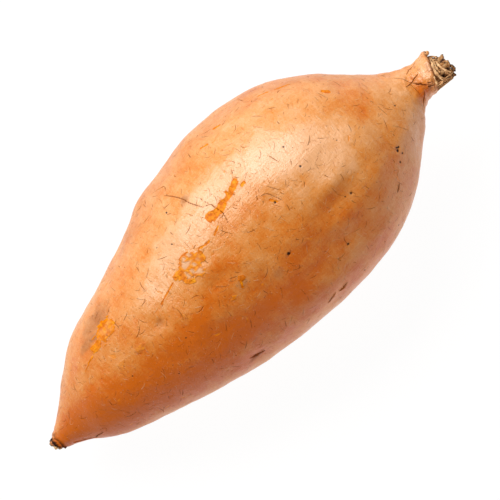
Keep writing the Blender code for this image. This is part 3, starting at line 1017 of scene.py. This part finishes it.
def stalk_core(looks, material):
    """The snapped stalk inside the rim of skin: layered tissue, darkened all over and most in its
    hollows as painted shade.
    """
    rings, columns = 60, 150
    along = np.linspace(CORE_START, CORE_END, rings)
    round_at = np.linspace(0, 360, columns, endpoint=False)
    grid_along, grid_round = np.meshgrid(along, round_at, indexing="ij")
    reach = (grid_along - CORE_START) / (CORE_END - CORE_START)
    share = 0.82 - 0.03 * reach - 0.72 * smoothstep(0.93, 1.0, reach)
    points = stalk_point(grid_along, grid_round, share).reshape(-1, 3)
    grain = noise_at(points * (0.25, 1, 1), 0.8 * MM, 21)
    lumps = noise_at(points, 2.0 * MM, 22)
    middle = stalk_point(grid_along, grid_round, 0.0 * share).reshape(-1, 3)
    out = points - middle
    out /= np.linalg.norm(out, axis=1, keepdims=True) + 1e-9
    points += out * ((0.22 * grain + 0.75 * lumps) * looks.raggedness * MM)[:, None]
    points[:, 0] += 1.2 * MM * lumps * reach.ravel() ** 2
    dark_tissue_and_painted_shade = smoothstep(0.12, -0.30, grain + 0.9 * lumps)
    bm = bmesh.new()
    painted_shade_layer, _ = fibre_layers(bm)
    verts = []
    for point, depth in zip(points, dark_tissue_and_painted_shade):
        vert = bm.verts.new(point)
        # Painted shade: the core under the bark is darkened all over, most in its hollows.
        vert[painted_shade_layer] = 0.45 + 0.55 * depth
        verts.append(vert)
    tube_faces(bm, verts, columns)
    return finish_piece(bm, "stalk_core", material)


def stalk_bark(looks, material):
    """Torn, curled strips of bark, one over the other."""
    bm = bmesh.new()
    dark_tissue_and_painted_shade, cut_end_and_painted_light = fibre_layers(bm)
    chance = np.random.default_rng(looks.seed)
    steps = 36
    for darkness, width, places in BARK:
        line = smooth_line(places, steps)
        t = np.linspace(0, 1, steps)
        sway = chance.uniform(0, 2 * math.pi)
        share = line[:, 2] + 0.025 * np.sin(23 * t + sway)
        points = stalk_point(line[:, 0], line[:, 1], share)
        ahead = stalk_point(line[:, 0] + 0.5, line[:, 1], share + 0.05 * np.sin(9 * t + sway))
        taper = np.sin(np.linspace(0.25, math.pi - 0.3, steps)) ** 0.4
        ragged = 1 + 0.16 * np.sin(31 * t + sway) + 0.12 * np.sin(53 * t)
        path = [Vector(point) for point in points]
        across = [Vector(far - near) for near, far in zip(points, ahead)]
        rings = strip(bm, path, across, width * MM * taper * ragged, 0.50 * MM * taper, sides=10)
        # Painted shade: deeper strips and each strip's edges are darker; painted light: the crown of
        # each lighter strip is paler.
        shade = 0.08 + darkness * 0.7 + 0.10 * np.sin(17 * t + sway)
        for ring, depth in zip(rings, shade):
            for k, vert in enumerate(ring):
                edge = abs(math.cos(2 * math.pi * k / len(ring)))
                vert[dark_tissue_and_painted_shade] = min(1.0, max(0.0, depth + 0.65 * edge**4))
                vert[cut_end_and_painted_light] = max(0.0, 0.60 - darkness) * (1 - edge) * 1.3
    return finish_piece(bm, "stalk_bark", material)


def stalk_fibres(looks, material):
    """Fibres laid bare beside one another round the stalk, from the rim of skin to its end."""
    bm = bmesh.new()
    dark_tissue_and_painted_shade, cut_end_and_painted_light = fibre_layers(bm)
    chance = np.random.default_rng(looks.seed + 2)
    for i in range(looks.strands):
        t = np.linspace(0, 1, 14)
        turned = 128 + 300 * i / looks.strands + chance.uniform(-3, 3)
        bunched = turned < 215
        end = chance.uniform(171.6, 173.6) if bunched else chance.uniform(169, 172)
        along = FIBRES_START + (end - FIBRES_START) * t
        round_at = turned + chance.uniform(-5, 5) * t + 2 * np.sin(5 * t + i)
        share = 0.95 - (0.12 if bunched else 0.06) * t + 0.02 * np.sin(7 * t + i)
        points = stalk_point(along, round_at, share)
        beside = stalk_point(along, round_at + 10, share)
        path = [Vector(point) for point in points]
        across = [Vector(near - far) for near, far in zip(beside, points)]
        width = chance.uniform(0.55, 0.85) * MM * (1 - 0.35 * t**2)
        rings = strip(bm, path, across, width, 0.6 * width, sides=8)
        shade = chance.uniform(0.0, 0.10 if bunched else 0.45)
        pale = chance.uniform(0.4, 1.0) if bunched else chance.uniform(0.0, 0.5)
        for ring, reach in zip(rings, t):
            for k, vert in enumerate(ring):
                edge = abs(math.cos(2 * math.pi * k / len(ring)))
                # Painted shade along each strand's edges; painted light on its crown, strongest on the
                # bunched strands.
                vert[dark_tissue_and_painted_shade] = min(1.0, shade + 0.45 * smoothstep(0.8, 1.0, reach) + 0.8 * edge**6)
                vert[cut_end_and_painted_light] = pale * (0.9 if bunched else 0.6) * (1 - edge)
    return finish_piece(bm, "stalk_fibres", material)


def side_bud(material):
    """The small bud scar on the stalk's collar, with its dark middle."""
    bm = bmesh.new()
    bmesh.ops.create_icosphere(bm, subdivisions=4, radius=1.0)
    dark_tissue_and_painted_shade, cut_end_and_painted_light = fibre_layers(bm)
    centre, out = surface_frame(*np.array(BUD_AT)[:, None])
    out = Vector(out[0])
    centre = Vector(centre[0]) + out * 0.1 * MM + Vector((0.45, -0.45, 0.0)) * MM
    turn = out.to_track_quat("Z", "Y").to_matrix()
    for vert in bm.verts:
        dent = math.exp(-((math.hypot(vert.co.x, vert.co.y) / 0.38) ** 2)) if vert.co.z > 0 else 0
        vert[dark_tissue_and_painted_shade] = min(1.0, dent * 1.2)
        vert[cut_end_and_painted_light] = 0.0
        shaped = Vector((vert.co.x * 1.05, vert.co.y * 0.95, vert.co.z * 0.75 - 0.45 * dent))
        vert.co = centre + turn @ shaped * MM
    return finish_piece(bm, "side_bud", material)


def tip_fibres(looks, material):
    """The broken root tip: stubby strands with pale cut ends, dark between them."""
    bm = bmesh.new()
    dark_tissue_and_painted_shade, cut_end_and_painted_light = fibre_layers(bm)
    chance = np.random.default_rng(looks.seed + 1)
    for i in range(looks.tip_strands):
        turned = 84 + 360 * i / looks.tip_strands + chance.uniform(-8, 8)
        share = 0.70 if i % 3 else 0.25
        t = np.linspace(0, 1, 9)
        end = 0.10 + chance.uniform(-0.30, 0.35)
        end += float(tip_slant(0.5, turned, share)) - (0.35 if i in (0, 1) else 0.0)
        along = end + 3.0 * (1 - t)
        held = np.maximum(along, 1.2)
        points = inner_point(held, np.full_like(t, turned), share * (1 - 0.10 * t))
        points[:, 0] += (along - held) * MM
        path = [Vector(point) for point in points]
        tangent = math.radians(turned)
        across = [Vector((0, -math.sin(tangent), math.cos(tangent)))] * len(path)
        wide = chance.uniform(0.95, 1.35) * MM * (1 + 0.12 * np.sin(8 * t + i))
        wide[-1] *= 0.72
        rings = strip(bm, path, across, wide, 0.85 * wide, sides=10)
        fresh = i in (0, 1)
        for ring, reach in zip(rings, t):
            for vert in ring:
                vert[dark_tissue_and_painted_shade] = 0.0 if fresh and reach > 0.7 else 0.55 + 0.3 * math.sin(14 * reach)
                vert[cut_end_and_painted_light] = 0.95 * smoothstep(0.66, 0.80, reach) if fresh else 0.0
    return finish_piece(bm, "root_tip_fibres", material)


# ---- stage ------------------------------------------------------------------------------------


# The lights, in metres: where each stands from the middle of the floor, and its two sides.
KEY_PLACE, KEY_SIZE = (0.0, 0.43, 0.53), (0.72, 0.32)
FILL_PLACE, FILL_SIZE = (0.05, -0.72, 0.26), (1.1, 0.6)
WHITE = (1.0, 1.0, 1.0)


def soft_light(name, place, size, watts, aim, colour=WHITE):
    """A rectangular lamp that faces a point."""
    light = bpy.data.lights.new(name, "AREA")
    light.color = colour
    light.shape = "RECTANGLE"
    light.size, light.size_y = size
    light.energy = watts
    lamp = place_object(name, light)
    lamp.location = place
    lamp.rotation_euler = (Vector(aim) - Vector(place)).to_track_quat("-Z", "Y").to_euler()
    return lamp


def floor_material(looks):
    """A dull pale floor that gives some light of its own, so that it stays evenly bright."""
    material, _, shader = new_material("pale_floor")
    shader.inputs["Base Color"].default_value = opaque(looks.floor)
    shader.inputs["Roughness"].default_value = 0.8
    shader.inputs["Specular IOR Level"].default_value = 0.1
    shader.inputs["Emission Color"].default_value = opaque(WHITE)
    shader.inputs["Emission Strength"].default_value = looks.floor_glow
    return material


def build_stage(looks):
    bm = bmesh.new()
    bmesh.ops.create_grid(bm, x_segments=8, y_segments=8, size=looks.floor_size / 2)
    floor = place_object("floor", mesh_from(bm, "floor"))
    floor.data.materials.append(floor_material(looks))

    middle_height = ROOT_HIGH.z / 2
    aim = (0, 0, middle_height)
    soft_light("key_light", KEY_PLACE, KEY_SIZE, looks.key_watts, aim)
    fill = soft_light(
        "fill_light", FILL_PLACE, FILL_SIZE, looks.fill_watts, aim, looks.fill_colour
    )
    fill.visible_glossy = False

    world = bpy.data.worlds.new("studio")
    world.use_nodes = True
    background = world.node_tree.nodes["Background"]
    background.inputs["Color"].default_value = opaque(WHITE)
    background.inputs["Strength"].default_value = looks.ambient
    bpy.context.scene.world = world

    camera = place_object("camera", bpy.data.cameras.new("camera"))
    camera.data.lens = looks.lens
    camera.location = (
        looks.camera_centre[0], looks.camera_centre[1], middle_height + looks.camera_distance
    )
    camera.rotation_euler = (0, 0, -looks.camera_roll)
    bpy.context.scene.camera = camera
    bpy.context.scene.view_settings.view_transform = "Standard"


# ---- add-on -----------------------------------------------------------------------------------


def colour_property(name, description, default):
    """A colour as a setting of the panel."""
    return bpy.props.FloatVectorProperty(
        name=name, description=description, default=default, subtype="COLOR", size=3, min=0, max=1
    )


def number(name, description, default, **settings):
    """A number as a setting of the panel."""
    return bpy.props.FloatProperty(name=name, description=description, default=default, **settings)


def whole_number(name, description, default, **settings):
    """A whole number as a setting of the panel."""
    return bpy.props.IntProperty(name=name, description=description, default=default, **settings)


class PotatoSkinLooks(bpy.types.PropertyGroup):
    """Sizes and colours of the skin."""

    rings: whole_number("Rings", "Sections along the skin", 210, min=40, max=400)
    columns: whole_number("Columns", "Points round each section", 240, min=40, max=400)
    crowding: number("End crowding", "How much closer sections stand at the ends", 0.35)
    top_crowding: number("Top crowding", "How much closer points stand along the top", 0.3)
    fine_reach: number("Fine reach", "How far from a mark the mesh is finer", 0.9 * MM, unit="LENGTH")
    fine_cuts: whole_number("Fine cuts", "Cuts in each edge of the finer mesh", 3, min=0, max=5)
    lumps: number("Lumps", "Height of the skin's natural unevenness, in mm", 1.65)
    bump: number("Bump", "Strength of the finest surface detail", 1.0)
    roughness: number("Roughness", "Roughness of the waxy skin", 0.35)
    gloss: number("Gloss", "How much light the skin mirrors", 0.72)
    # Deep skin is also the colour that the painted shade of the tone layer reaches.
    deep_skin: colour_property("Deep skin", "Skin at its deepest", (0.74, 0.158, 0.006))
    copper_skin: colour_property("Copper skin", "Most of the skin", (0.80, 0.250, 0.034))
    light_skin: colour_property("Light skin", "Lighter skin", (0.84, 0.335, 0.085))
    # Pale skin is also the colour of the painted highlight in the tone layer.
    pale_skin_and_painted_highlight: colour_property("Pale skin", "The palest, bloomy skin", (0.93, 0.46, 0.20))
    scratch: colour_property("Scratch", "Dry, thin scratches", (0.85, 0.55, 0.28))
    stroke: colour_property("Stroke", "Hairline marks", (0.34, 0.078, 0.010))
    cork_dark: colour_property("Dark cork", "Cork where it is darkest", (0.20, 0.075, 0.030))
    cork_light: colour_property("Light cork", "Cork where it is lightest", (0.48, 0.195, 0.080))
    flesh_deep: colour_property("Deep flesh", "Dried rim of the bare flesh", (0.70, 0.160, 0.003))
    flesh: colour_property("Flesh", "Bare flesh", (0.90, 0.265, 0.004))
    flesh_pale: colour_property("Pale flesh", "Freshest bare flesh", (0.97, 0.37, 0.012))
    crust: colour_property("Crust", "Pale crust inside a scab", (0.86, 0.46, 0.24))
    speck: colour_property("Speck", "Dark specks and pits", (0.040, 0.018, 0.012))
    char: colour_property("Dark tip", "The broken root tip", (0.035, 0.012, 0.006))
    # The splits' brown, which also stands in for the shade inside them.
    split: colour_property("Split", "Inside of the splits", (0.17, 0.040, 0.010))


class PotatoEndLooks(bpy.types.PropertyGroup):
    """Sizes and colours of the snapped stalk and the root tip."""

    strands: whole_number("Strands", "Fibres laid bare round the snapped stalk", 30, min=0)
    tip_strands: whole_number("Tip strands", "Broken strands of the root tip", 9, min=0)
    raggedness: number("Raggedness", "How uneven the snapped stalk is", 1.0)
    seed: whole_number("Seed", "Chooses the strands", 11)
    tan: colour_property("Tan", "Dry stalk tissue", (0.82, 0.335, 0.090))
    straw: colour_property("Straw", "Palest strands", (1.0, 0.66, 0.33))
    dark: colour_property("Dark", "Darkest strands", (0.28, 0.085, 0.018))
    # Painted shade in the gaps between strands, in the stalk's core and under the bark, and the dark
    # tissue of the root tip.
    dark_tissue_and_painted_shade: colour_property("Hollow", "Gaps between strands", (0.045, 0.014, 0.005))
    bud: colour_property("Bud", "The bud scar on the collar", (0.66, 0.19, 0.01))
    # Also painted light on the crowns of the stalk's strands.
    cut_end_and_painted_light: colour_property("Cut end", "Fresh ends of broken strands", (0.98, 0.66, 0.36))


class PotatoStageLooks(bpy.types.PropertyGroup):
    """Floor, lights and camera."""

    floor_size: number("Floor size", "Side of the floor", 8.0, unit="LENGTH")
    floor: colour_property("Floor", "The pale floor", (0.07, 0.07, 0.07))
    floor_glow: number("Floor glow", "Light that the floor gives of its own", 0.965)
    key_watts: number("Key light", "Power of the large soft light", 5.9, unit="POWER")
    fill_watts: number("Fill light", "Power of the fill light", 2.1, unit="POWER")
    fill_colour: colour_property("Fill colour", "The fill light's warmth", (1.0, 0.76, 0.55))
    ambient: number("Ambient", "Light from all round", 0.05)
    lens: number("Lens", "Focal length of the camera, in mm", 275.2)
    camera_distance: number(
        "Camera distance", "From the root's middle up to the camera", 1.2, unit="LENGTH"
    )
    camera_centre: bpy.props.FloatVectorProperty(
        name="Camera centre", description="What the camera stands over", size=2,
        default=(0.98 * MM, -4.05 * MM), subtype="XYZ", unit="LENGTH",
    )
    camera_roll: number(
        "Camera roll", "How far the camera is turned", math.radians(43.8),
        unit="ROTATION", subtype="ANGLE",
    )


class SWEET_POTATO_OT_grow_skin(bpy.types.Operator):
    """Grow the root's skin with all its marks"""

    bl_idname = "sweet_potato.grow_skin"
    bl_label = "Grow Skin"

    def execute(self, context):
        looks = context.scene.potato_skin
        mesh = skin_mesh(looks)
        settle_skin(mesh, looks)
        skin = place_piece(mesh, "skin", skin_material(looks))
        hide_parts("sweet_potato")
        return {"FINISHED"}


class SWEET_POTATO_OT_snap_stalk(bpy.types.Operator):
    """Build the snapped stalk: its core, torn bark and loose strands"""

    bl_idname = "sweet_potato.snap_stalk"
    bl_label = "Snap Stalk"

    def execute(self, context):
        looks = context.scene.potato_ends
        material = fibre_material(looks)
        stalk_core(looks, material)
        stalk_bark(looks, material)
        stalk_fibres(looks, material)
        side_bud(bud_material(looks))
        return {"FINISHED"}


class SWEET_POTATO_OT_break_tip(bpy.types.Operator):
    """Build the broken strands of the root tip"""

    bl_idname = "sweet_potato.break_tip"
    bl_label = "Break Root Tip"

    def execute(self, context):
        looks = context.scene.potato_ends
        tip_fibres(looks, fibre_material(looks))
        return {"FINISHED"}


class SWEET_POTATO_OT_set_stage(bpy.types.Operator):
    """Lay the floor and set the lights and the camera"""

    bl_idname = "sweet_potato.set_stage"
    bl_label = "Set Stage"

    def execute(self, context):
        build_stage(context.scene.potato_stage)
        return {"FINISHED"}


class SWEET_POTATO_PT_panel(bpy.types.Panel):
    """Lists the root's operators and looks"""

    bl_idname = "SWEET_POTATO_PT_panel"
    bl_label = "Sweet Potato"
    bl_space_type = "VIEW_3D"
    bl_region_type = "UI"
    bl_category = "Sweet Potato"

    def draw(self, context):
        for operator, settings in STEPS:
            self.layout.operator(operator.bl_idname)
            group = getattr(context.scene, settings)
            for name in group.bl_rna.properties.keys():
                if name not in ("name", "rna_type"):
                    self.layout.prop(group, name)


STEPS = (
    (SWEET_POTATO_OT_grow_skin, "potato_skin"),
    (SWEET_POTATO_OT_snap_stalk, "potato_ends"),
    (SWEET_POTATO_OT_break_tip, "potato_ends"),
    (SWEET_POTATO_OT_set_stage, "potato_stage"),
)
SETTINGS = {
    "potato_skin": PotatoSkinLooks,
    "potato_ends": PotatoEndLooks,
    "potato_stage": PotatoStageLooks,
}
CLASSES = (*SETTINGS.values(), *(step[0] for step in STEPS), SWEET_POTATO_PT_panel)


def register():
    for kind in CLASSES:
        bpy.utils.register_class(kind)
    for name, kind in SETTINGS.items():
        setattr(bpy.types.Scene, name, bpy.props.PointerProperty(type=kind))


def unregister():
    for name in SETTINGS:
        delattr(bpy.types.Scene, name)
    for kind in reversed(CLASSES):
        bpy.utils.unregister_class(kind)


def main():
    register()
    bpy.ops.sweet_potato.grow_skin()
    bpy.ops.sweet_potato.snap_stalk()
    bpy.ops.sweet_potato.break_tip()
    bpy.ops.sweet_potato.set_stage()


if __name__ == "__main__":
    main()
